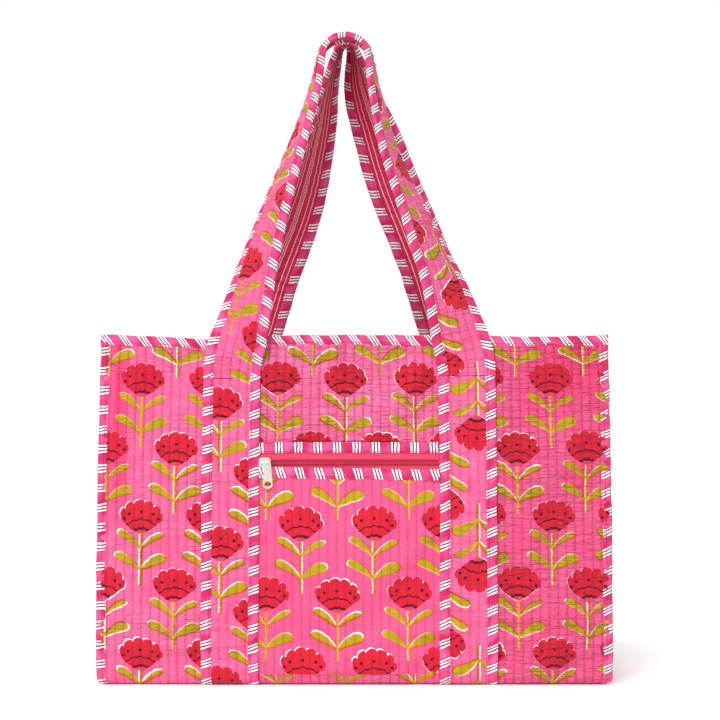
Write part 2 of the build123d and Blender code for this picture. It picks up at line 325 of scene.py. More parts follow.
def settle(points):
    # moves points of the upright box to where the soft bag has settled
    x, y, z = points[..., 0], points[..., 1], points[..., 2]
    onFront, onBack = smooth(-y, 45, 73), smooth(y, 45, 73)
    onSide = smooth(np.abs(x), 195, 214)
    fade = 1 - smooth(z, 300, 380)
    h = np.clip(z / size["height"], 0, 1)
    free = smooth(z, 0, 30) * fade
    flat = 1 - 0.88 * holdZip(x, z)
    outFront = bumps(x, z, slump["front"]) * free * flat
    outBack = bumps(x, z, slump["back"]) * free
    outSide = bumps(y, z, slump["side"]) * free
    r = slump["baseRadius"]
    tuck = r * (1 - np.sqrt(1 - np.clip(1 - z / r, 0, 1) ** 2))
    dy = onBack * (outBack - tuck) - onFront * (outFront - tuck)
    dx = np.sign(x) * onSide * (outSide * (1 - 0.8 * np.maximum(onFront, onBack)) - 0.4 * tuck)
    dx = dx - x / 225 * slump["lean"] * h ** 2 * fade
    fall = onFront * dips(x, slump["rimFront"]) + onBack * dips(x, slump["rimBack"])
    fall = fall + 5.0 * onSide * (1 - smooth(np.abs(y), 20, 70))
    dz = -fall * h ** 5 * fade
    moved = points + np.stack([dx, dy, dz], -1)
    for label, share, a, turn in (
        ("front", onFront, x, (1, 1)), ("back", onBack, -x, (-1, -1)),
        ("left", onSide * (x < 0), -y, None), ("right", onSide * (x > 0), y, None),
    ):
        if label == "front":
            share = share * flat
        move = hungMove(label, a, z) * (share * fade)[..., None]
        along, out, up = move[..., 0] * 0.5, -move[..., 1], move[..., 2] * 0.2
        if turn:
            moved = moved + np.stack([along * turn[0], -out * turn[1], up], -1)
        else:
            side = -1 if label == "left" else 1
            keep = 1 - np.maximum(onFront, onBack)
            moved = moved + np.stack([out * side * keep, along * side * keep, up * keep], -1)
    return moved


# ---- shader helper ----

class Wire:
    # one value in a node tree; arithmetic on it adds Math nodes
    def __init__(self, finish, socket):
        self.finish, self.socket = finish, socket

    def __add__(self, other):
        return self.finish.maths("ADD", self, other)

    def __sub__(self, other):
        return self.finish.maths("SUBTRACT", self, other)

    def __rsub__(self, other):
        return self.finish.maths("SUBTRACT", other, self)

    def __mul__(self, other):
        return self.finish.maths("MULTIPLY", self, other)

    def __truediv__(self, other):
        return self.finish.maths("DIVIDE", self, other)

    def __pow__(self, other):
        return self.finish.maths("POWER", self, other)

    def __lt__(self, other):
        return self.finish.maths("LESS_THAN", self, other)

    def __gt__(self, other):
        return self.finish.maths("GREATER_THAN", self, other)

    def __abs__(self):
        return self.finish.maths("ABSOLUTE", self)

    __radd__ = __add__
    __rmul__ = __mul__

    def wrap(self, low, high):
        return self.finish.maths("WRAP", self, high, low)

    def clamp(self):
        return self.finish.maths("ADD", self, 0, clamp=True)


class Finish:
    # a material and the few ways its nodes are added
    def __init__(self, name):
        self.material = bpy.data.materials.new(name)
        self.material.use_nodes = True
        self.tree = self.material.node_tree
        self.tree.nodes.clear()

    def node(self, kind, settings=(), inputs=(), output=0):
        made = self.tree.nodes.new("ShaderNode" + kind)
        for key, value in dict(settings).items():
            setattr(made, key, value)
        for key, value in dict(inputs).items():
            if isinstance(value, Wire):
                self.tree.links.new(value.socket, made.inputs[key])
            else:
                made.inputs[key].default_value = value
        return Wire(self, made.outputs[output] if made.outputs else None)

    def maths(self, operation, *values, clamp=False):
        return self.node(
            "Math", {"operation": operation, "use_clamp": clamp}, dict(enumerate(values))
        )

    def most(self, a, b):
        return self.maths("MAXIMUM", a, b)

    def least(self, a, b):
        return self.maths("MINIMUM", a, b)

    def length(self, a, b):
        return self.maths("SQRT", a * a + b * b)

    def soft(self, distance, edge):
        # 1 inside, 0 outside, fading over the edge's width
        return self.maths("SUBTRACT", 0.5, distance / edge, clamp=True)

    def mix(self, mask, a, b):
        return self.node("Mix", {"data_type": "RGBA"}, {0: mask, 6: a, 7: b}, 2)

    def between(self, mask, a, b):
        return a + (b - a) * mask

    def uv(self):
        place = self.node("UVMap", {"uv_map": "cloth"})
        return self.parts(place)[:2]

    def point(self, x, y, z=0.0):
        return self.node("CombineXYZ", (), {0: x, 1: y, 2: z})

    def noise(self, vector, scale, detail=2.0, output=0):
        return self.node(
            "TexNoise", {"noise_dimensions": "3D"},
            {"Vector": vector, "Scale": scale, "Detail": detail}, output,
        )

    def parts(self, vector):
        first = self.node("SeparateXYZ", (), {0: vector})
        return [Wire(self, socket) for socket in first.socket.node.outputs]

    def surface(self, colour, roughness, height=None, **plain):
        # plain holds the shader's sockets that are the same all over
        inputs = {"Base Color": colour, "Roughness": roughness}
        if height is not None:
            inputs["Normal"] = self.node(
                "Bump", (), {"Strength": 1.0, "Distance": mm, "Height": height}
            )
        inputs.update({key.replace("_", " "): value for key, value in plain.items()})
        shader = self.node("BsdfPrincipled", (), inputs)
        self.node("OutputMaterial", (), {"Surface": shader})
        return self.material


def ink(red, green, blue):
    # display colour, 0 to 255, to the linear colour that shaders use
    c = np.array([red, green, blue]) / 255
    linear = np.where(c <= 0.04045, c / 12.92, ((c + 0.055) / 1.055) ** 2.4)
    return (*linear.tolist(), 1.0)


# ---- cloths ----

printLook = {
    "across": 60.0,          # between neighbouring flowers in a row
    "row": 59.5,             # between rows, each set half a step over
    "pink": ink(230, 76, 126),
    "pinkPale": ink(238, 122, 170),
    "pinkDeep": ink(212, 40, 90),
    "red": ink(230, 38, 50),
    "redDeep": ink(190, 20, 48),
    "coral": ink(240, 70, 96),
    "dark": ink(70, 6, 34),
    "leaf": ink(158, 142, 6),
    "leafBright": ink(192, 164, 12),
    "leafRim": ink(226, 168, 48),
    "leafEdge": ink(188, 84, 30),
    "white": ink(255, 246, 248),
    # thread colour, also mixed in as painted shade in the quilting valleys and the creases of the cross folds
    "thread": ink(150, 20, 76),
    "shift": 2.7,            # how far the coloured blocks miss the white ground
    "channel": 7.7,          # between lines of quilting
    "stitch": 3.3,
    "leaves": (
        # foot and reach, rise, half width, how much wider on the right
        (-27.5, 20.0, 14.0, 3.3, -0.75),
        (-46.0, 22.0, 12.5, 3.7, 0.75),
    ),
    "lobes": (14.2, 10.2, 4.9, 0.56),   # two half axes of the ring of petals, their radius, angle between
}


def leaves(f, x, z, grow):
    # distance to the stem and two pairs of leaves; a leaf is the distance to its middle line,
    # less a width that swells outwards
    side = (x > 0.0)
    out = abs(x)
    near = f.most(out - 0.95 - grow * 0.6, abs(z + 36.5) - 22.5)
    for foot, reach, rise, wide, extra in printLook["leaves"]:
        long = math.hypot(reach, rise)
        dx, dz = reach / long, rise / long
        lift = z - foot + x * 0.07
        raw = (out * dx + lift * dz) / long
        along = f.maths("ADD", raw, 0.0, clamp=True)
        off = abs(out * dz - lift * dx + 1.6 * f.maths("SINE", along * 3.1))
        swell = (along ** 0.7) * f.maths("SQRT", 1.0 - along ** 6.0)
        blade = off - swell * (side * extra + wide) * 1.3 - grow
        blade = f.most(blade, (raw - 1.0) * long - grow)
        blade = f.most(blade, raw * -long)
        near = f.least(near, blade)
    return near


def flowerHead(f, x, z, grow):
    # distance to a body that narrows to its cup, with a ring of round petals over its top half
    a, b, petal, step = printLook["lobes"]
    taper = 1.0 - 0.5 * (f.maths("MULTIPLY", z, -1 / 14.5, clamp=True) ** 1.5)
    body = (f.length(x / (taper * 17.2), z / 14.2) - 1.0) * 13.0
    body = f.most(body, z - 3.0)
    angle = f.maths("ARCTAN2", z / b, x / a)
    nearest = f.maths("ROUND", angle / step) * step
    nearest = f.most(nearest, 0.0 * nearest)
    lobe = f.length(x - a * f.maths("COSINE", nearest), z - b * f.maths("SINE", nearest)) - petal
    inner = (f.length(x / a, z / b) - 1.02) * 10.0
    near = f.least(f.least(body, lobe), inner) - grow
    return f.most(near, -14.0 - z - grow)


def printedCotton(name, calm, scale=1.0):
    look = printLook
    f = Finish(name)
    u, v = f.uv()
    place = f.point(u, v)
    lively = f.node("Attribute", {"attribute_name": "lively"}, (), 2)
    tone = f.node("Attribute", {"attribute_name": "tone"}, (), 2)
    wobble = f.parts(f.noise(place, 0.32, 2.0, 1))
    x0 = u / scale + (wobble[0] - 0.5) * 1.5
    z0 = v / scale + (wobble[1] - 0.5) * 1.5
    a, row = look["across"], look["row"]
    low, high = row * 0.74 - 2 * row, row * 0.74
    ax, az = x0.wrap(-a / 2, a / 2), z0.wrap(low, high)
    bx, bz = (x0 - a / 2).wrap(-a / 2, a / 2), (z0 - row).wrap(low, high)
    zoneA = abs(ax) < 8.0 + 1.5 * f.most(az + 50.0, 0.0)
    zoneB = abs(bx) < 8.0 + 1.5 * f.most(bz + 50.0, 0.0)
    other = (az < -43.5) * (1.0 - zoneA) + (az > 3.0) * zoneB
    x, z = f.between(other, ax, bx), f.between(other, az, bz)
    column = f.maths("ROUND", (x0 - x) / a * 2.0)
    line = f.maths("ROUND", (z0 - z) / row)
    spot = f.point(column, line)
    chance = f.parts(f.node("TexWhiteNoise", {"noise_dimensions": "2D"}, {"Vector": spot}, 1))
    shiftX = (chance[0] - 0.5) * look["shift"]
    shiftZ = (chance[1] - 0.4) * look["shift"]
    cx, cz = x + shiftX, z + shiftZ

    ground = f.soft(f.least(leaves(f, x, z, 0.0), flowerHead(f, x, z, -0.2)), 0.35)
    leafNear = leaves(f, cx, cz, 0.4)
    leafInk = f.soft(leafNear, 0.45)
    headNear = flowerHead(f, cx, cz, 0.3)
    headInk = f.soft(headNear, 0.4)

    # marks inside the head: an arc of dots, a thin wavy band and a thick one, and a paler cup
    angle = f.maths("ARCTAN2", (cz + 1.2) * 2.6, cx)
    nearest = f.maths("ROUND", angle / 0.785) * 0.785
    dot = f.length(cx - 15.2 * f.maths("COSINE", nearest), cz + 1.2 - 5.8 * f.maths("SINE", nearest)) - 1.4
    dot = f.most(dot, -3.6 - cz)
    arch = cx * cx
    thin = abs(cz + 2.4 + arch * 0.027 - 1.0 * abs(f.maths("SINE", cx * 0.43 + 1.57))) - 0.72
    thin = f.most(thin, abs(cx) - 15.0)
    thick = abs(cz + 10.2 + arch * 0.042 - 0.7 * abs(f.maths("SINE", cx * 0.75))) - 1.15
    thick = f.most(thick, abs(cx) - 8.2)
    marks = f.soft(f.least(dot, f.least(thin, thick)), 0.4)
    cup = f.soft(cz + 11.2 + arch * 0.04, 0.5) * (abs(cx) < 9.0)

    patch = f.noise(place, 0.03, 3.0)
    grain = f.noise(f.point(u * 1.0, v * 0.35), 1.4, 2.0)
    streak = f.noise(f.point(u, v * 0.2), 0.22, 3.0)
    # painted shade and light: the tone attribute makes the pink deeper or paler piece by piece and across the
    # front; patch, streak and grain are the dye's own unevenness
    pale = (patch * 1.6 + streak * 0.9 + grain * 0.5 - 0.9 - tone * 0.9).clamp()
    deep = (tone * 1.1 + (streak - 0.5) * 1.1 + (patch - 0.5) * 0.8 - 0.15).clamp()
    base = f.mix(pale, look["pink"], look["pinkPale"])
    base = f.mix(deep, base, look["pinkDeep"])
    base = f.mix(ground, base, look["white"])
    olive = f.mix((grain * 1.6 + streak - 0.9).clamp(), look["leaf"], look["leafBright"])
    olive = f.mix(f.soft(abs(leafNear + 0.55) - 0.35, 0.5) * 0.75, olive, look["leafRim"])
    olive = f.mix(ground, look["leafEdge"], olive)
    redTone = f.mix((grain * 1.3 + patch - 0.8).clamp(), look["redDeep"], look["red"])
    redTone = f.mix(f.soft(abs(headNear + 0.5) - 0.45, 0.7) * 0.6, redTone, look["redDeep"])
    redTone = f.mix(cup * 0.8, redTone, look["coral"])
    redTone = f.mix(marks * 0.94, redTone, look["dark"])
    density = (grain * 1.6 + 0.4).clamp()
    colour = f.mix(leafInk * density, base, olive)
    colour = f.mix(headInk * (density * 0.3 + 0.7), colour, redTone)

    # quilting: rows of running stitches, each in its own small valley
    step = look["channel"]
    channel = f.maths("ROUND", u / step)
    offLine = abs(u - channel * step + (wobble[2] - 0.5) * 0.9)
    setBack = f.node("TexWhiteNoise", {"noise_dimensions": "1D"}, {"W": channel}, 0)
    dash = abs((v + setBack * 9.0 + (wobble[0] - 0.5) * 1.2).wrap(-look["stitch"] / 2, look["stitch"] / 2))
    sewn = f.soft(offLine - 0.2, 0.3) * f.soft(dash - 0.95, 0.5)
    valley = f.soft(offLine - 0.4, 0.9)
    # painted shade: thread colour is mixed faintly into the small valley along each line of stitches
    colour = f.mix(valley * 0.2, colour, look["thread"])
    colour = f.mix(sewn * 0.74, colour, look["thread"])

    # cloth drawn into small cross folds between the lines of stitches: rounded ridges, sharp valleys
    warp = f.maths("SINE", u * 13.0) * f.maths("SINE", v * 13.0)
    tight = f.maths("MULTIPLY", offLine, 1 / 1.5, clamp=True)
    fold = f.noise(f.point(u * 0.11, v, streak * 1.4), 0.2, 1.5)
    second = f.noise(f.point(u * 0.2, v, 9.0), 0.33, 1.0)
    ridge = f.least(abs(fold - 0.5) * 9.0, 1.0) ** 0.7
    ripple = f.least(abs(second - 0.5) * 7.0, 1.0) ** 0.8
    amount = (lively * 1.15 + (patch - 0.5) * 2.2).clamp() * calm
    folds = ridge * 1.25 + ripple * 0.7
    height = folds * amount * (tight * 0.5 + 0.5)
    height = height + 0.3 * tight + sewn * 0.14 - valley * (1.0 - sewn) * 0.1
    height = height + 0.02 * warp + grain * 0.08
    # painted shade: the sharp valleys of the cross folds are darkened with thread colour
    creaseShade = f.soft(abs(fold - 0.5) - 0.012, 0.03) + 0.5 * f.soft(abs(second - 0.5) - 0.01, 0.03)
    colour = f.mix((creaseShade * amount).clamp() * 0.2, colour, look["thread"])
    return f.surface(
        colour, 0.86, height, Sheen_Weight=0.1, Sheen_Roughness=0.5, Specular_IOR_Level=0.2
    )


liningLook = {
    "crimson": ink(218, 28, 86),
    "crimsonDeep": ink(182, 14, 60),
    "white": ink(255, 206, 214),
    "repeat": 21.0,
    "thread": ink(120, 12, 44),
}


def stripedLining(name):
    look = liningLook
    f = Finish(name)
    u, v = f.uv()
    place = f.point(u, v)
    grain = f.noise(f.point(u, v * 0.3), 1.1, 3.0)
    wobble = f.noise(place, 0.05, 2.0)
    across = (u + (wobble - 0.5) * 1.6).wrap(-look["repeat"] / 2, look["repeat"] / 2)
    triple = abs(across.wrap(-1.05, 1.05)) - 0.44
    triple = f.most(triple, abs(across) - 3.1)
    single = abs(abs(across) - 8.2) - 0.42
    lines = f.soft(f.least(triple, single), 0.3)
    weft = abs(v.wrap(-0.85, 0.85)) - 0.2
    colour = f.mix((grain * 1.5 - 0.3).clamp(), look["crimsonDeep"], look["crimson"])
    colour = f.mix(f.soft(weft, 0.4) * 0.11, colour, look["white"])
    colour = f.mix(lines * 0.82, colour, look["white"])
    step = printLook["channel"]
    offLine = abs(u.wrap(-step / 2, step / 2))
    dash = abs(v.wrap(-1.65, 1.65))
    sewn = f.soft(offLine - 0.24, 0.3) * f.soft(dash - 1.0, 0.5)
    colour = f.mix(sewn * 0.7, colour, look["thread"])
    tight = f.maths("MULTIPLY", offLine, 1 / 1.6, clamp=True)
    crease = f.noise(f.point(u * 0.25, v), 0.2, 3.0)
    height = 0.3 * tight + (crease - 0.5) * 0.6 * tight + grain * 0.08 + sewn * 0.1
    return f.surface(colour, 0.86, height, Sheen_Weight=0.1, Specular_IOR_Level=0.22)


bindingLook = {
    "pink": ink(222, 66, 128),
    "pinkPale": ink(234, 108, 166),
    "pinkDeep": ink(194, 34, 90),
    "white": ink(255, 244, 246),
    "dark": ink(86, 52, 66),
    "repeat": 17.0,
    "line": 2.75,            # between the white lines of a group
    # thread colour, also used as painted shade along the stitch line
    "thread": ink(150, 20, 70),
}


def biasBinding(name):
    look = bindingLook
    f = Finish(name)
    u, v = f.uv()
    place = f.point(u, v)
    wobble = f.noise(place, 0.14, 2.0)
    grain = f.noise(place, 1.3, 2.0)
    patch = f.noise(place, 0.06, 2.0)
    along = (u + (wobble - 0.5) * 2.2).wrap(-look["repeat"] / 2, look["repeat"] / 2)
    group = f.soft(abs(along) - look["line"] * 1.66, 0.2)
    off = abs(along.wrap(-look["line"] / 2, look["line"] / 2))
    white = f.soft(off - 0.7, 0.3) * f.soft(abs(along) - look["line"] * 1.5, 0.2)
    dark = f.soft(look["line"] / 2 - 0.56 - off, 0.3) * group
    ends = f.maths("LESS_THAN", abs(along), look["line"])
    colour = f.mix((grain * 1.2 + patch * 1.4 - 1.0).clamp(), look["pinkDeep"], look["pink"])
    colour = f.mix((patch * 2.2 - 0.9).clamp(), colour, look["pinkPale"])
    colour = f.mix(dark * (ends * 0.45 + 0.4), colour, look["dark"])
    colour = f.mix(white, colour, look["white"])
    # machine stitching near the turned edge
    seam = abs(abs(v) - 8.6)
    dash = abs(u.wrap(-1.35, 1.35))
    sewn = f.soft(seam - 0.22, 0.25) * f.soft(dash - 0.95, 0.3)
    # painted shade: a soft band of thread colour darkens the sunken stitch line; the stitches themselves
    # follow
    colour = f.mix(f.soft(seam - 0.5, 0.8) * 0.3, colour, look["thread"])
    colour = f.mix(sewn * 0.6, colour, look["thread"])
    height = grain * 0.07 - f.soft(seam - 0.3, 0.9) * 0.2 + sewn * 0.12 + (wobble - 0.5) * 0.8
    height = height + 0.02 * f.maths("SINE", u * 13.0) * f.maths("SINE", v * 13.0)
    return f.surface(colour, 0.84, height, Sheen_Weight=0.08, Specular_IOR_Level=0.2)


def wovenTape(name):
    f = Finish(name)
    u, v = f.uv()
    grain = f.noise(f.point(u, v), 1.2, 2.0)
    ridge = abs((u + abs(v.wrap(-1.6, 1.6))).wrap(-0.5, 0.5))
    rows = abs(v.wrap(-1.6, 1.6))
    colour = f.mix((grain * 1.3 - 0.2).clamp(), ink(214, 44, 84), ink(240, 84, 118))
    # painted shade: the weave's diagonal lines and rows are drawn darker where its bump is lowest
    colour = f.mix(f.soft(ridge - 0.1, 0.2) * 0.35, colour, ink(178, 30, 66))
    colour = f.mix(f.soft(rows - 0.1, 0.2) * 0.4, colour, ink(150, 22, 56))
    height = ridge * 0.12 + rows * 0.03
    return f.surface(colour, 0.78, height, Sheen_Weight=0.08, Specular_IOR_Level=0.3)


def nylon(name):
    f = Finish(name)
    place = f.node("TexCoord", (), (), 3)
    tone = f.noise(place, 900.0, 2.0)
    colour = f.mix(tone, ink(146, 10, 38), ink(196, 36, 70))
    return f.surface(colour, 0.42, tone * 0.05)


def nickel(name):
    f = Finish(name)
    place = f.node("TexCoord", (), (), 3)
    wear = f.noise(place, 420.0, 4.0)
    fine = f.noise(place, 2600.0, 2.0)
    colour = f.mix((wear * 1.6 - 0.4).clamp(), ink(222, 216, 200), ink(255, 250, 238))
    return f.surface(colour, wear * 0.2 + 0.2, fine * 0.02 + wear * 0.04, Metallic=1.0)


cottonLively = printedCotton("printedCotton", 1.0)
cottonCalm = printedCotton("printedCottonPressed", 0.7, 1.03)
lining = stripedLining("stripedLining")
binding = biasBinding("biasBinding")
tapeCloth = wovenTape("zipTapeCloth")
coilNylon = nylon("zipCoilNylon")
nickelPlate = nickel("zipNickel")
print("finishes made")


# ---- quilted walls ----

quiltLook = {
    "channel": printLook["channel"],
    "crown": 0.75,
    "rowStep": 2.3,
    "pucker": 0.8,
    "printAt": (-7.4, 207.0 + 59.5),    # a flower head's middle on the front, x and z
}


def quiltColumns(low, high, channel, fractions=(0.0, 0.1, 0.3, 0.5, 0.7, 0.9)):
    # grid columns bunched beside each line of quilting
    first, last = math.floor(low / channel) - 1, math.ceil(high / channel) + 1
    lines = np.arange(first, last + 1) * channel
    places = (lines[:, None] + np.array(fractions)[None] * channel).ravel()
    inner = places[(places > low + 0.25) & (places < high - 0.25)]
    return np.concatenate([[low], inner, [high]])


def crown(u, depth, channel):
    # a rounded ridge between neighbouring lines, lowest on the lines
    return depth * (np.abs(np.sin(math.pi * u / channel)) ** 0.6 - 0.75)


def plane(origin, across, up, out):
    origin, across, up, out = (np.array(v, float) for v in (origin, across, up, out))

    def at(a, b, n):
        a, b, n = np.broadcast_arrays(a, b, n)
        return origin + a[..., None] * across + b[..., None] * up + n[..., None] * out

    return at


def quiltPanel(
    at, aRange, bRange, printAt, lively, seed,
    thickness=2.0, rowStep=None, fine=True, edge=6.0, tone=0.3,
):
    # a grid over the panel: its outer side carries the quilting's ridges and puckers,
    # its inner side is smooth
    fractions = (0.0, 0.1, 0.3, 0.5, 0.7, 0.9) if fine else (0.0, 0.25, 0.5, 0.75)
    channel = quiltLook["channel"]
    u = quiltColumns(aRange[0] - printAt[0], aRange[1] - printAt[0], channel, fractions)
    rows = int((bRange[1] - bRange[0]) / (rowStep or quiltLook["rowStep"])) + 2
    b = np.linspace(bRange[0], bRange[1], rows)
    uu, bb = np.meshgrid(u, b)
    aa, vv = uu + printAt[0], bb - printAt[1]
    puff = crown(uu, quiltLook["crown"], channel)
    ridge = np.abs(np.sin(math.pi * uu / channel)) ** 0.7
    amount = lively(aa, bb) if callable(lively) else lively
    puckers = waves(uu, vv, seed, 46, 8.5) * ridge * quiltLook["pucker"] * amount
    slow = np.tanh(waves(uu, vv, seed + 1, 150, 46, 24) * 0.8) * amount
    inset = np.minimum.reduce([aa - aRange[0], aRange[1] - aa, bb - bRange[0], bRange[1] - bb])
    hold = smooth(inset, 0, edge)
    n = (puff + puckers) * (0.35 + 0.65 * hold) + slow * hold
    front = settle(at(aa, bb, n))
    back = settle(at(aa, bb, slow * hold - thickness))
    shade = tone(aa, bb) if callable(tone) else tone
    return closedSheet(front, back, np.stack([uu, vv], -1), amount, shade)


def frontLively(x, z):
    right = smooth(x, 95, 130)
    top = smooth(z, 195, 225) * (1 - smooth(np.abs(x), 85, 120))
    return 0.42 + 0.55 * right + 0.58 * top


def frontShadeAndDye(x, z):
    # painted shade, partly dye: the pink runs deeper towards the right and at the top right corner, where
    # less light falls, and in a narrow line beside the left edge where a fold sits; painted light makes the
    # top middle paler
    right = 0.18 * smooth(x, 90, 160) + 0.3 * smooth(x, 120, 200) * smooth(z, 200, 290)
    paleTop = 0.14 * smooth(z, 190, 225) * (1 - smooth(np.abs(x), 85, 120))
    return 0.12 + right - paleTop + 0.5 * np.exp(-(((x + 207) / 8) ** 2)) * smooth(z, 120, 200)


w, d, q, h = size["halfWidth"], size["halfDepth"], size["quilt"], size["height"]
edgeIn, top = 0.8, h - 1.0
inside = d - q

wall = plane((0, -d, 0), (1, 0, 0), (0, 0, 1), (0, -1, 0))
frontPanel = newPiece(
    "frontPanelQuilt",
    [
        quiltPanel(
            wall, (-w + edgeIn, w - edgeIn), (0, top), quiltLook["printAt"], frontLively, 11,
            tone=frontShadeAndDye,
        )
    ],
    cottonLively,
)
belongs(frontPanel, "bag", "printed_cotton", "front_panel_face", "front_panel_wadding")

wall = plane((0, d, 0), (-1, 0, 0), (0, 0, 1), (0, 1, 0))
backPanel = newPiece(
    "backPanelQuilt",
    [quiltPanel(wall, (-w + edgeIn, w - edgeIn), (0, top), (12.0, 230.0), 0.8, 23)],
    cottonLively,
)
belongs(backPanel, "bag", "printed_cotton", "back_panel_face", "back_panel_wadding")

g = size["gusset"]
for label, side, seed in (("left", -1, 31), ("right", 1, 37)):
    wall = plane((side * g, 0, 0), (0, side, 0), (0, 0, 1), (side, 0, 0))
    gusset = newPiece(
        f"{label}GussetQuilt",
        [quiltPanel(wall, (-inside + 0.4, inside - 0.4), (2, top), (9.0 * side, 222.0), 0.9, seed)],
        cottonLively,
    )
    belongs(gusset, "bag", "printed_cotton", f"{label}_gusset_face", f"{label}_gusset_wadding")

# linings: the same walls seen from inside
for label, at, reach, seed in (
    ("frontPanel", plane((0, -inside, 0), (-1, 0, 0), (0, 0, 1), (0, 1, 0)), g, 41),
    ("backPanel", plane((0, inside, 0), (1, 0, 0), (0, 0, 1), (0, -1, 0)), g, 43),
    ("leftGusset", plane((-g + q, 0, 0), (0, 1, 0), (0, 0, 1), (1, 0, 0)), inside, 47),
    ("rightGusset", plane((g - q, 0, 0), (0, -1, 0), (0, 0, 1), (-1, 0, 0)), inside, 53),
):
    node = label.replace("Panel", "_panel").replace("Gusset", "_gusset") + "_lining"
    piece = newPiece(
        f"{label}Lining",
        [quiltPanel(at, (-reach, reach), (q - 1, top), (3.0, 0.0), 0.3, seed, 0.8, 3.6, False)],
        lining,
    )
    belongs(piece, "bag", "striped_lining", node)

under = plane((0, 0, 0.5), (1, 0, 0), (0, -1, 0), (0, 0, -1))
basePanel = newPiece(
    "baseQuilt",
    [quiltPanel(under, (-g, g), (-inside, inside), (5.0, 20.0), 0.2, 61, 1.6, 3.6, False)],
    cottonCalm,
)
belongs(basePanel, "bag", "printed_cotton", "base_face", "base_wadding")
floorOfBag = plane((0, 0, q), (1, 0, 0), (0, 1, 0), (0, 0, 1))
baseLining = newPiece(
    "baseLining",
    [
        quiltPanel(
            floorOfBag, (-g + 3, g - 3), (-inside + 1, inside - 1), (3.0, 0.0), 0.7, 67,
            1.6, 3.6, False,
        )
    ],
    lining,
)
belongs(baseLining, "bag", "striped_lining", "base_lining")
print("walls and base quilted")


# ---- bindings ----

bindingShape = {
    "points": 20, "squareness": 0.62, "waver": 0.35, "step": 3.0,
    "cloth": 0.6,
    "cornerThick": 4.6, "baseThick": 4.4, "rimThick": 3.1,     # half of each folded thickness
}


def foldedProfile(halfWide, halfThick):
    # a squarish oval; around is the distance from the folded edge, which lies at +halfWide
    t = np.linspace(math.pi, -math.pi, bindingShape["points"] + 1)
    k = bindingShape["squareness"]
    a = halfWide * np.sign(np.cos(t)) * np.abs(np.cos(t)) ** k
    n = halfThick * np.sign(np.sin(t)) * np.abs(np.sin(t)) ** k
    steps = np.hypot(np.diff(a), np.diff(n))
    around = np.concatenate([[0], np.cumsum(steps)])
    return a[:-1], n[:-1], around - around[-1] / 2


def foldedStrip(path, outward, normal, halfWide, halfThick, start=0.0, seed=5, shaped=True, slant=0.4):
    # path runs down the middle of the folded strip; outward points to its folded edge; the strip is
    # a hollow fold: the same profile drawn in by the cloth's thickness makes its inner side
    along = start + np.concatenate([[0], np.cumsum(np.linalg.norm(np.diff(path, axis=0), axis=1))])
    shiver = waves(along, along * 0, seed, 40, 1e6, 12) * bindingShape["waver"]
    swell = 1 + 0.06 * waves(along, along * 0, seed + 1, 14, 1e6, 12)
    lean = np.broadcast_to(slant, (len(along), 1))
    sides = []
    for within, rows in ((0.0, slice(None)), (bindingShape["cloth"], slice(1, -1))):
        a, n, around = foldedProfile(halfWide - within, halfThick - within)
        rings = (
            path[:, None]
            + outward[:, None] * (a[None, :, None] + shiver[:, None, None] * 0.5)
            + normal[:, None] * (n[None, :] * swell[:, None])[..., None]
        )
        if shaped:
            rings = settle(rings)
        sides.append(tube(rings[rows], along[rows], around, lean[rows]))
    outer, inner = sides
    return {
        "points": np.concatenate([outer["points"], inner["points"]]),
        "faces": np.concatenate([outer["faces"], inner["faces"][:, ::-1] + len(outer["points"])]),
        "uv": np.concatenate([outer["uv"], inner["uv"][:, ::-1]]),
    }


def straightStrip(start, stop, outward, normal, halfWide, halfThick, **more):
    count = max(2, int(np.linalg.norm(np.subtract(stop, start)) / bindingShape["step"]))
    path = np.linspace(np.array(start, float), np.array(stop, float), count)
    outwards, normals = (np.tile(np.array(v, float), (count, 1)) for v in (outward, normal))
    return foldedStrip(path, outwards, normals, halfWide, halfThick, **more)


def cutFlat(piece, length, halfWide, halfThick, *under):
    # the strip before it was folded: its length, and the way round the folded profile
    around = foldedProfile(halfWide, halfThick)[2]
    length * mm
    (around[-1] - around[0]) * mm


half = size["binding"] / 2
for label, sx, sy, seed in (
    ("front_left", -1, -1, 71), ("front_right", 1, -1, 73),
    ("back_left", -1, 1, 79), ("back_right", 1, 1, 83),
):
    x, y = sx * (w - half), sy * (d - q)
    lean = sx * sy * (0.12 if sx < 0 else 0.45)
    strip = straightStrip(
        (x, y, 0.9), (x, y, h - 5), (sx, 0, 0), (0, sy, 0), half, bindingShape["cornerThick"],
        seed=seed, slant=lean,
    )
    corner = newPiece(label.replace("_l", "L").replace("_r", "R") + "Binding", [strip], binding)
    belongs(corner, "bag", "bias_binding", f"{label}_binding")
    cutFlat(corner, h - 5.9, half, bindingShape["cornerThick"], f"{label.split('_')[0]}_panel_face")

for label, sx in (("left", -1), ("right", 1)):
    x = sx * (w - half)
    strip = straightStrip(
        (x, d - 9, q + 0.6), (x, -d + 9, q + 0.6), (sx, 0, 0), (0, 0, 1),
        half, bindingShape["baseThick"], seed=89,
    )
    piece = newPiece(f"base{label.title()}Binding", [strip], binding)
    belongs(piece, "bag", "bias_binding", f"base_{label}_binding")
    cutFlat(piece, 2 * (d - 9), half, bindingShape["baseThick"], "base_face", f"{label}_gusset_face")

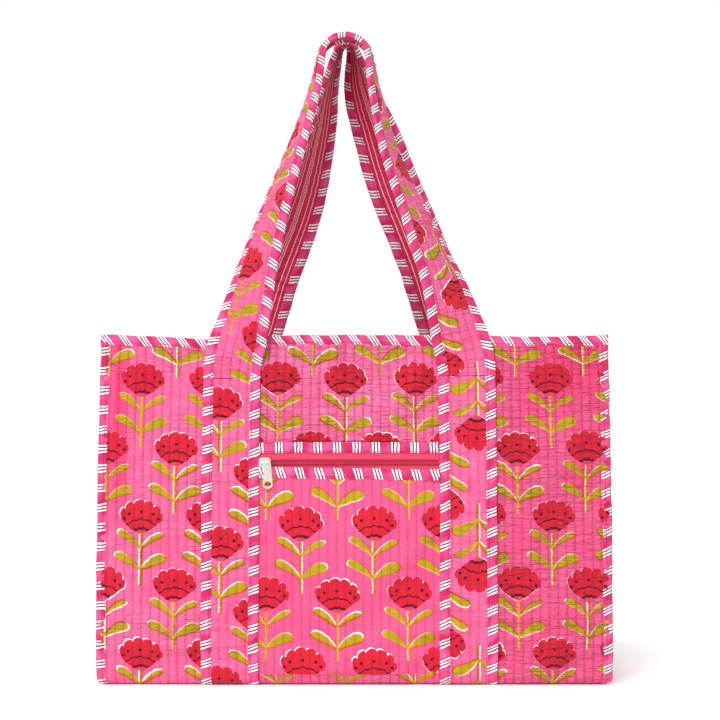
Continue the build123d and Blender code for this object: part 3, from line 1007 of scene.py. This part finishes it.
rimZ, rimY = h - half, d - q / 2
rimThick = bindingShape["rimThick"]
rimStrips = [
    straightStrip(first, last, (0, 0, 1), face, half + wider, rimThick, seed=seed, slant=lean)
    for first, last, face, wider, seed, lean in (
        ((-w, -rimY, rimZ), (w, -rimY, rimZ), (0, -1, 0), 0.2, 97, 0.75),
        ((w, rimY, rimZ), (-w, rimY, rimZ), (0, 1, 0), 0.2, 101, 0.75),
        ((-g + 2, inside, rimZ), (-g + 2, -inside, rimZ), (-1, 0, 0), 0.0, 103, 0.4),
        ((g - 2, -inside, rimZ), (g - 2, inside, rimZ), (1, 0, 0), 0.0, 107, 0.4),
    )
]
rim = newPiece("rimBinding", rimStrips, binding)
belongs(rim, "bag", "bias_binding", "rim_binding")
cutFlat(
    rim, 4 * w + 4 * inside, half + 0.1, rimThick,
    "front_panel_face", "back_panel_face", "left_gusset_face", "right_gusset_face",
)
print("edges bound")


# ---- straps ----

strapLook = {
    "legThickness": 4.2,
    "printAcross": 9.0,      # from a strap's middle to a column of flowers
    "printFrom": 247.0,      # height of one flower on the left leg
    "apexX": -8.0, "apexZ": 567.0, "apexOffset": 27.5,
    "leanRadius": 90.0, "rimBulge": 2.4, "twistStart": 298.0,
    "archRadius": {-1: 20.0, 1: 13.0},
    "twist": {-1: (0.42, 0.42), 1: (1.1, 2.9)},   # powers of the rise on the left and right halves
    "raise": 4.0,            # the loops are pulled taut at the top
    "drawIn": {-1: (0.0, -0.14, 555.0, 20.0), 1: (4.0, 0.12, 528.0, 32.0)},
    "nudges": {              # half (-1 left), height, reach, sideways
        -1: ((-1, 410.0, 100.0, -4.5), (1, 468.0, 48.0, -4.2), (1, 345.0, 32.0, 2.5)),
        1: ((-1, 425.0, 75.0, 8.5), (1, 448.0, 50.0, -4.0), (-1, 524.0, 26.0, -4.0)),
    },
    "cup": 22.0,             # degrees that each edge curls towards the lining
    "step": 2.4,
    "edge": (4.6, 2.45),     # half width and half thickness of its folded binding
    "edgeIn": 4.5,           # from the strap's edge to the middle of that binding
    "lean": (0.32, 0.42),    # of the stripes on the left and the right leg
}
half = size["strap"] / 2
start = size["stitchLine"] + 0.3


def halfLoop(legX, sense, radius):
    # x and z up one half of a loop: a bend into the lean, a straight run, half the arch
    s = strapLook
    bend = s["leanRadius"]
    across = sense * (s["apexX"] - legX) - bend
    up = s["apexZ"] - radius - start
    run = math.sqrt(across ** 2 + up ** 2 - (bend - radius) ** 2)
    heading = math.atan2(up, across) - math.atan2(bend - radius, run)
    lean = math.pi / 2 - heading
    a = np.linspace(0, lean, 12)[:-1]
    first = np.stack([bend * (1 - np.cos(a)), bend * np.sin(a)], 1)
    t = np.linspace(0, run, 90)[:-1]
    x0, z0 = bend * (1 - math.cos(lean)), bend * math.sin(lean)
    second = np.stack([x0 + t * math.cos(heading), z0 + t * math.sin(heading)], 1)
    a = np.linspace(heading, 0, 40)
    middle = sense * (s["apexX"] - legX)
    third = np.stack([middle - radius * np.sin(a), up + radius * np.cos(a)], 1)
    line = np.concatenate([first, second, third])
    return np.stack([legX + sense * line[:, 0], start + line[:, 1]], 1)


def loopFrames(side):
    # evenly spaced points along a loop, with the directions to its inner edge and out of its
    # printed face, the distance run, and how much the strip is cupped
    s = strapLook
    radius = s["archRadius"][side]
    left = halfLoop(size["legs"][0], 1, radius)
    right = halfLoop(size["legs"][1], -1, radius)
    line = np.concatenate([left, right[-2::-1]])
    x, z = line[:, 0], line[:, 1]
    near = d + 2.2 + 0.3
    t = np.clip((z - start + 0.3) / 25, 0, 1)
    bulge = s["rimBulge"] * t * t * (3 - 2 * t)
    rise = (z - h - 4) / (s["apexZ"] - h - 4)
    inward = (rise + np.sqrt(rise ** 2 + 0.0009)) / 2
    y = side * (near + bulge - (near + s["rimBulge"] - s["apexOffset"]) * inward)
    inset, share, height, reach = s["drawIn"][side]
    off = x - s["apexX"]
    off = off * (1 - share * np.exp(-(((z - height) / reach) ** 2)))
    off = off - inset * smooth(z, start, 330) * np.clip(off / 20, -1, 1)
    for part, height, reach, sideways in s["nudges"][side]:
        nudge = sideways * np.exp(-(((z - height) / reach) ** 2))
        off = off + nudge * smooth(part * off, 0, 12) * smooth(z, start, 310)
    x = s["apexX"] + off
    z = z + s["raise"] * smooth(z, 470, s["apexZ"])
    points = np.stack([x, y, z], 1)
    along = np.concatenate([[0], np.cumsum(np.linalg.norm(np.diff(points, axis=0), axis=1))])
    even = np.linspace(0, along[-1], int(along[-1] / s["step"]))
    points = np.stack([np.interp(even, along, points[:, i]) for i in range(3)], 1)
    middle = np.interp(len(left) - 1, np.arange(len(along)), along)
    z = points[:, 2]
    peak = s["apexZ"] + s["raise"]
    up = np.clip((z - s["twistStart"]) / (peak - s["twistStart"]), 0, 1)
    power = np.where(even <= middle, *s["twist"][side])
    early = 0.01 if side < 0 else 0.0
    turn = math.pi / 2 * ((up + early) ** power - early ** power) / ((1 + early) ** power - early ** power)
    turn = np.where(even <= middle, turn, math.pi - turn)
    ease = np.ones(9) / 9
    turn = np.convolve(np.pad(turn, 4, mode="edge"), ease, "valid")
    tangent = np.gradient(points, axis=0)
    tangent[0], tangent[-1] = (0, 0, 1), (0, 0, -1)
    tangent /= np.linalg.norm(tangent, axis=1, keepdims=True)
    inner = np.stack([np.cos(turn), side * np.sin(turn), np.zeros_like(turn)], 1)
    inner -= tangent * np.sum(inner * tangent, 1, keepdims=True)
    inner /= np.linalg.norm(inner, axis=1, keepdims=True)
    outward = side * np.cross(tangent, inner)
    bow = math.radians(s["cup"]) / half * smooth(z, 275, 380) * (1 - 0.45 * smooth(z, 500, peak))
    return points, inner, outward, even, bow + 1e-5


def strapColumns(printAcross, reach):
    low, high = printAcross - reach, printAcross + reach
    return quiltColumns(low, high, quiltLook["channel"], (0.0, 0.15, 0.5, 0.85)) - printAcross


def legParts(side, seed):
    # the two sewn-down legs; the right one is the strap coming back down, so its print is upside down
    s = strapLook
    quiltParts, bindParts = [], []
    reach = half - 2.0
    a = strapColumns(s["printAcross"], reach)
    z = np.linspace(1.0, size["stitchLine"], 122)
    loopLength = loopFrames(side)[3][-1]
    for number, (legX, sense) in enumerate(zip(size["legs"], (1, -1))):
        v = z - s["printFrom"] if sense > 0 else 2 * size["stitchLine"] + loopLength - z - s["printFrom"]
        aa, zz = np.meshgrid(a, z)
        puff = crown(aa + s["printAcross"], 0.6, quiltLook["channel"])
        puff = puff + waves(aa, zz, seed + number, 60, 9.0) * 0.35
        seam = np.exp(-(((zz - size["stitchLine"] + 3.0) / 1.6) ** 2)) * 0.9
        n = s["legThickness"] - 0.7 + puff - seam
        n = n * smooth(zz, -2, 6)
        x = legX + sense * aa

        def wallPoint(n):
            return settle(np.stack([x, side * (d + n), zz], -1))

        uv = np.stack([aa + s["printAcross"], np.broadcast_to(v[:, None], aa.shape)], -1)
        quiltParts.append(closedSheet(wallPoint(n), wallPoint(np.full_like(n, 0.2)), uv, 0.6, 0.1))
        for edge in (-1, 1):
            x0, y0 = legX + edge * (half - s["edgeIn"]), side * (d + 2.3)
            bindParts.append(
                straightStrip(
                    (x0, y0, 0.8), (x0, y0, size["stitchLine"] + 0.6), (edge, 0, 0), (0, side, 0),
                    *s["edge"], seed=seed + 7 * number + edge, slant=edge * side * s["lean"][number],
                )
            )
    return quiltParts, bindParts


for label, side, seed in (("front", -1, 113), ("back", 1, 127)):
    quiltParts, bindParts = legParts(side, seed)
    legs = newPiece(f"{label}StrapLegs", quiltParts, cottonCalm)
    layers = [f"{label}_strap_legs_{k}" for k in ("face", "wadding", "lining")]
    belongs(legs, "bag", "printed_cotton", *layers)
    piece = newPiece(f"{label}StrapLegBindings", bindParts, binding)
    belongs(piece, "bag", "bias_binding", f"{label}_strap_legs_bindings")
    length = 4 * (size["stitchLine"] - 0.2)
    cutFlat(piece, length, *strapLook["edge"], f"{label}_panel_face", f"{label}_strap_legs_face")
print("strap legs sewn down")


def handleParts(side, seed):
    # the free loop: printed half, lining half and the folded bindings on both edges
    s = strapLook
    points, inner, outward, along, bow = loopFrames(side)
    points = settle(points)
    a = strapColumns(s["printAcross"], half - 2.0)
    aa, ll = np.meshgrid(a, along)
    z = points[:, 2:3]
    puff = crown(aa + s["printAcross"], 0.5, quiltLook["channel"]) + waves(aa, ll, seed, 60, 9.0) * 0.4
    v = along + size["stitchLine"] - s["printFrom"]

    def bent(a):
        # the cross-section is an arc: sideways and back shares of a step a along it, and the turn there
        turn = bow[:, None] * a
        return np.sin(turn) / bow[:, None], (np.cos(turn) - 1) / bow[:, None], turn

    def place(n):
        across, back, turn = bent(aa)
        across = across + n * np.sin(turn)
        back = back + n * np.cos(turn)
        return points[:, None] + inner[:, None] * across[..., None] + outward[:, None] * back[..., None]

    uv = np.stack([aa + s["printAcross"], np.broadcast_to(v[:, None], aa.shape)], -1)
    uvIn = np.stack([aa, np.broadcast_to(v[:, None], aa.shape)], -1)
    printed = closedSheet(place(1.5 + puff), place(0 * aa), uv, 0.95, 0.15)
    plain = closedSheet(place(-1.4 - puff * 0.7), place(0 * aa), uvIn)
    edges = []
    for edge in (1, -1):
        across, back, turn = bent(np.full((1, 1), edge * (half - s["edgeIn"])))
        path = points + inner * across + outward * back
        towards = edge * (inner * np.cos(turn) - outward * np.sin(turn))
        normal = outward * np.cos(turn) + inner * np.sin(turn)
        swap = np.tanh((along[-1] / 2 - along) / 20)[:, None]
        edges.append(
            foldedStrip(
                path, towards, normal, *s["edge"],
                start=3.0, seed=seed + edge, shaped=False, slant=0.4 * swap,
            )
        )
    return printed, plain, edges, along[-1]


for label, side, seed in (("front", -1, 131), ("back", 1, 137)):
    body = f"{label}_handle"
    printed, plain, edges, length = handleParts(side, seed)
    made = [
        (newPiece(f"{label}HandlePrinted", [printed], cottonCalm), "printed_cotton", ("face", "wadding")),
        (newPiece(f"{label}HandleLining", [plain], lining), "striped_lining", ("lining",)),
        (newPiece(f"{label}HandleInnerBinding", edges[:1], binding), "bias_binding", ("inner_binding",)),
        (newPiece(f"{label}HandleOuterBinding", edges[1:], binding), "bias_binding", ("outer_binding",)),
    ]
    for piece, slotName, nodes in made:
        y = side * (d + 2.5) * mm
        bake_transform(piece)
        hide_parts(*[f"{body}_{n}" for n in nodes])
        if slotName == "bias_binding":
            cutFlat(piece, length, *strapLook["edge"], f"{body}_face", f"{body}_lining")
print("handle loops made")


# ---- pocket and zip ----

pocketLook = {
    "printAt": (-45.9, 141.8),
    "crown": 0.45,
    "proud": 3.9,
    "topBinding": (4.9, 2.1),     # half width, half thickness
    "facing": (4.6, 1.5),
}
left, right = pocketLow[0], pocketHigh[0]
bottom, pocketTop = pocketLow[2], cadBoxOf("pocket_top_binding")[1][2]


def pocketSheet():
    # a pressed quilt that stands proud in the middle and is pulled down at its sewn edges
    p = pocketLook
    u = quiltColumns(left - 0.5 - p["printAt"][0], right + 0.5 - p["printAt"][0], quiltLook["channel"])
    z = np.linspace(bottom, pocketTop - 4, 90)
    uu, zz = np.meshgrid(u, z)
    xx = uu + p["printAt"][0]
    edge = np.minimum(smooth(xx, left - 2, left + 22), 1 - smooth(xx, right - 22, right + 2))
    edge = np.minimum(edge, smooth(zz, bottom - 3, bottom + 16))
    n = 1.4 + (p["proud"] - 1.4) * edge + 0.8 * np.exp(-((xx / 60) ** 2) - ((zz - 95) / 60) ** 2)
    n = n + crown(uu, p["crown"], quiltLook["channel"]) + waves(uu, zz, 151, 60, 10.0) * 0.12
    n = n + waves(uu, zz, 152, 120, 60, 20) * 0.3
    n = n - 1.1 * np.exp(-((zz - bottom - 2.6) / 1.3) ** 2)
    n = np.where(zz < bottom + 1.2, n * 0.6, n)

    def at(n):
        return settle(np.stack([xx, -d - n, zz], -1))

    uv = np.stack([uu, zz - p["printAt"][1]], -1)
    return closedSheet(at(n), at(np.full_like(n, 0.3)), uv, 0.2, 0.3)


pocket = newPiece("pocketQuilt", [pocketSheet()], cottonCalm)
belongs(pocket, "bag", "printed_cotton", "pocket_face", "pocket_wadding", "pocket_lining")

zipZ = (upperTapeLow[2] + lowerTapeHigh[2]) / 2
topZ = pocketTop - 4.2       # it drops a little towards the right
strip = straightStrip(
    (left, -d - 3.4, topZ), (right, -d - 3.2, topZ - 2.2), (0, 0, 1), (0, -1, 0),
    *pocketLook["topBinding"], seed=157, slant=0.3,
)
pocketBinding = newPiece("pocketTopBinding", [strip], binding)
belongs(pocketBinding, "bag", "bias_binding", "pocket_top_binding")
cutFlat(pocketBinding, right - left, *pocketLook["topBinding"], "pocket_face")

z = (facingLow[2] + facingHigh[2]) / 2
strip = straightStrip(
    (left, -d - 2.3, z), (right, -d - 2.3, z), (0, 0, 1), (0, -1, 0),
    *pocketLook["facing"], seed=163, slant=0.03,
)
facing = newPiece("zipFacing", [strip], binding)
belongs(facing, "bag", "bias_binding", "zip_facing")
cutFlat(facing, right - left, *pocketLook["facing"], "front_panel_face")


def tapeSheet(low, high, seed):
    x = np.linspace(left + 0.1, right - 0.1, 80)
    z = np.linspace(low, high, 12)
    xx, zz = np.meshgrid(x, z)
    n = 1.45 + waves(xx, zz, seed, 50, 80, 12) * 0.06

    def at(n):
        return settle(np.stack([xx, -d - n, zz], -1))

    return closedSheet(at(n + 0.5), at(n), np.stack([xx, zz - zipZ], -1))


for label, low, high in (
    ("upper", zipZ + 0.05, upperTapeHigh[2]), ("lower", lowerTapeLow[2], zipZ - 0.05),
):
    piece = newPiece(f"zip{label.title()}Tape", [tapeSheet(low, high, 167)], tapeCloth)
    belongs(piece, "bag", "zip_tape", f"zip_{label}_tape")
    cut = ((right - left) * mm, (high - low) * mm)


def coilTurns(side, shift):
    # one spring-like coil: an oval helix along x, as a thin round wire
    pitch, wire = 1.5, 0.34
    centre = zipZ + side * (0.35 + 1.25)
    turns = (right - left - 2) / pitch
    t = np.linspace(0, turns * 2 * math.pi, int(turns * 12))
    x = left + 1 + t / (2 * math.pi) * pitch + shift * pitch
    path = np.stack([x, -d - 2.0 - 0.62 - 0.42 * np.sin(t), centre + side * 0.88 * np.cos(t)], 1)
    tangent = np.gradient(path, axis=0)
    tangent /= np.linalg.norm(tangent, axis=1, keepdims=True)
    out = np.cross(tangent, np.array([1.0, 0, 0]))
    out /= np.linalg.norm(out, axis=1, keepdims=True)
    third = np.cross(tangent, out)
    a = np.linspace(0, 2 * math.pi, 7)[:-1]
    cosine, sine = np.cos(a)[None, :, None], np.sin(a)[None, :, None]
    rings = path[:, None] + wire * (out[:, None] * cosine + third[:, None] * sine)
    return tube(settle(rings), t, np.linspace(0, 2, 7))


for label, side in (("upper", 1), ("lower", -1)):
    coil = newPiece(f"zip{label.title()}Coil", [coilTurns(side, 0.0 if side > 0 else 0.5)], coilNylon)
    belongs(coil, "bag", "nylon_coil", f"zip_{label}_coil")


def softened(name, node, body, width):
    # a copy of a cast shape with its edges rounded over
    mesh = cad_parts[node].data.copy()
    mesh.name = name
    shell = bmesh.new()
    shell.from_mesh(mesh)
    bmesh.ops.remove_doubles(shell, verts=shell.verts, dist=1e-6)
    bmesh.ops.dissolve_limit(shell, angle_limit=0.02, verts=shell.verts, edges=shell.edges)
    shell.to_mesh(mesh)
    shell.free()
    mesh.materials.clear()
    mesh.materials.append(nickelPlate)
    mesh.polygons.foreach_set("use_smooth", np.ones(len(mesh.polygons), bool))
    mesh.set_sharp_from_angle(angle=math.radians(50))
    piece = bpy.data.objects.new(name, mesh)
    bpy.context.scene.collection.objects.link(piece)
    bevel = piece.modifiers.new("roundedEdges", "BEVEL")
    bevel.width, bevel.segments, bevel.limit_method = width * mm, 2, "ANGLE"
    bevel.angle_limit = math.radians(50)
    return belongs(piece, body, "zip_metal", node)


softened("zipSliderCast", "zip_slider", "zip_slider", 0.3)
softened("zipPullCast", "zip_pull", "zip_pull", 0.25)
print("pocket and zip fitted")


# ---- floor, light, camera ----

def plainFloor():
    f = Finish("paleFloor")
    place = f.node("TexCoord", (), (), 3)
    tone = f.noise(place, 1.5, 2.0)
    colour = f.mix(tone, ink(246, 246, 246), ink(250, 250, 250))
    return f.surface(colour, 0.9, Emission_Strength=0.12)


x = np.linspace(-9, 9, 3)
xx, yy = np.meshgrid(x, x)
floorPoints = np.stack([xx, yy, 0 * xx], -1).reshape(-1, 3)
floorMesh = bpy.data.meshes.new("floor")
floorMesh.from_pydata(floorPoints.tolist(), [], cells(np.arange(9).reshape(3, 3)).tolist())
floorMesh.materials.append(plainFloor())
floor = bpy.data.objects.new("floor", floorMesh)
bpy.context.scene.collection.objects.link(floor)

light = {
    "world": 0.48,
    "key": ((-0.16, -0.7, 0.68), 26.0, 2.45),     # towards the light, its spread in degrees, strength
    "side": ((-2.1, -1.3, 1.0), 2.0, 15.0),
    "back": ((0.6, 2.4, 2.2), 1.8, 22.0),
}
world = bpy.data.worlds.new("studio")
bpy.context.scene.world = world
world.use_nodes = True
sky = world.node_tree
dome = sky.nodes["Background"]
dome.inputs["Color"].default_value = (1, 1, 1, 1)
dome.inputs["Strength"].default_value = light["world"]
paper = sky.nodes.new("ShaderNodeBackground")     # what the camera sees behind: plain white paper
paper.inputs["Color"].default_value = (1, 1, 1, 1)
paper.inputs["Strength"].default_value = 1.0
rays, choose = sky.nodes.new("ShaderNodeLightPath"), sky.nodes.new("ShaderNodeMixShader")
sky.links.new(rays.outputs["Is Camera Ray"], choose.inputs[0])
sky.links.new(dome.outputs[0], choose.inputs[1])
sky.links.new(paper.outputs[0], choose.inputs[2])
sky.links.new(choose.outputs[0], sky.nodes["World Output"].inputs["Surface"])


def aimed(name, lamp, place, target):
    # turns a lamp's -Z axis from its place to the target
    holder = bpy.data.objects.new(name, lamp)
    holder.location = place
    aim = np.array(target) - np.array(place)
    tilt = math.atan2(math.hypot(aim[0], aim[1]), -aim[2])
    holder.rotation_euler = (tilt, 0, math.atan2(-aim[0], aim[1]))
    bpy.context.scene.collection.objects.link(holder)


place, spread, strength = light["key"]
sun = bpy.data.lights.new("key", "SUN")
sun.angle, sun.energy = math.radians(spread), strength
aimed("key", sun, place, (0, 0, 0))
for name in ("side", "back"):
    place, width, power = light[name]
    lamp = bpy.data.lights.new(name, "AREA")
    lamp.size, lamp.energy = width, power
    aimed(name, lamp, place, (0, 0, 0.25))

view = {"x": 0.0048, "height": 0.283, "distance": 2.5, "lens": 143.7}
lens = bpy.data.cameras.new("camera")
lens.lens, lens.sensor_width = view["lens"], 36
camera = bpy.data.objects.new("camera", lens)
camera.location = (view["x"], -d * mm - view["distance"], view["height"])
camera.rotation_euler = (math.pi / 2, 0, 0)
bpy.context.scene.collection.objects.link(camera)
bpy.context.scene.camera = camera
bpy.context.scene.view_settings.view_transform = "Standard"
